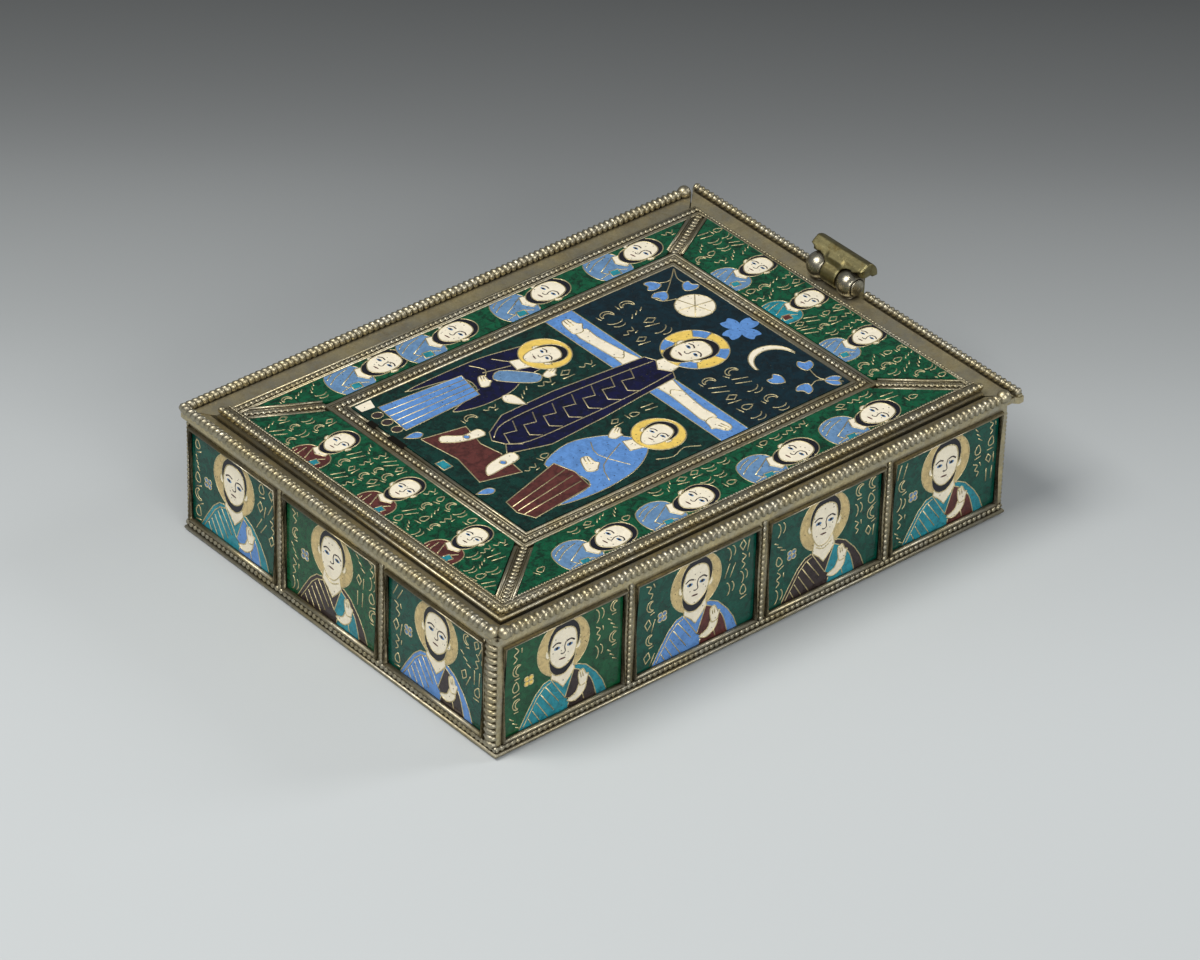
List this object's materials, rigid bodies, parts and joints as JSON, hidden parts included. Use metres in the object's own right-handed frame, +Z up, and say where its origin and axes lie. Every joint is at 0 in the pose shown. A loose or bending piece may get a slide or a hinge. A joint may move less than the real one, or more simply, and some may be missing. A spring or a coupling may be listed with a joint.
{
  "type": "reliquary casket",
  "caption": "Small hollow casket of gilded silver and cloisonne enamel with a sliding lid and a hinged leaf on the lid's end.",
  "frame": {"origin": "centre of the flat underside of the box", "axes": "+X along the long side, the way the lid slides out; +Y to the back long side; +Z up"},
  "size_m": [0.0984, 0.071, 0.0258],
  "materials": {
    "silver_gilt": "worn silver gilt, satin, dark in its recesses",
    "silver": "worn polished silver",
    "brass": "satin brass with brown patina",
    "enamel": "glossy vitreous enamel in gold cells, emerald green ground"
  },
  "bodies": {
    "case": {"base_moulding": "silver_gilt", "box_body": "silver_gilt", "corner_column_back_left": "silver_gilt", "corner_column_back_right": "silver_gilt", "corner_column_front_left": "silver_gilt", "corner_column_front_right": "silver_gilt", "plaque_back_1": "enamel", "plaque_back_2": "enamel", "plaque_back_3": "enamel", "plaque_back_4": "enamel", "plaque_front_1": "enamel", "plaque_front_2": "enamel", "plaque_front_3": "enamel", "plaque_front_4": "enamel", "plaque_left_1": "enamel", "plaque_left_2": "enamel", "plaque_left_3": "enamel", "plaque_right_1": "enamel", "plaque_right_2": "enamel", "plaque_right_3": "enamel", "rim_wire": "silver_gilt", "separator_back_1": "silver_gilt", "separator_back_2": "silver_gilt", "separator_back_3": "silver_gilt", "separator_front_1": "silver_gilt", "separator_front_2": "silver_gilt", "separator_front_3": "silver_gilt", "separator_left_1": "silver_gilt", "separator_left_2": "silver_gilt", "separator_right_1": "silver_gilt", "separator_right_2": "silver_gilt"},
    "lid": {"end_wire_back": "silver_gilt", "end_wire_front": "silver_gilt", "hinge_lug_back": "silver", "hinge_lug_front": "silver", "hinge_pin": "silver", "lid_border_strip": "silver_gilt", "lid_border_wire": "silver_gilt", "lid_centre_frame": "silver_gilt", "lid_plaque_back": "enamel", "lid_plaque_centre": "enamel", "lid_plaque_front": "enamel", "lid_plaque_left": "enamel", "lid_plaque_right": "enamel", "lid_plate": "silver_gilt", "mitre_strip_back_left": "silver_gilt", "mitre_strip_back_right": "silver_gilt", "mitre_strip_front_left": "silver_gilt", "mitre_strip_front_right": "silver_gilt"},
    "leaf": {"hinge_leaf": "brass"}
  },
  "joints": [
    {"name": "lid_slide", "type": "slide", "parent": "case", "child": "lid", "axis": [1, 0, 0], "range_m": [0, 0.085]},
    {"name": "leaf_hinge", "type": "hinge", "parent": "lid", "child": "leaf", "pos_m": [0.047, 0.0027, 0.0221], "axis": [0, -1, 0], "range_deg": [0, 95]}
  ]
}
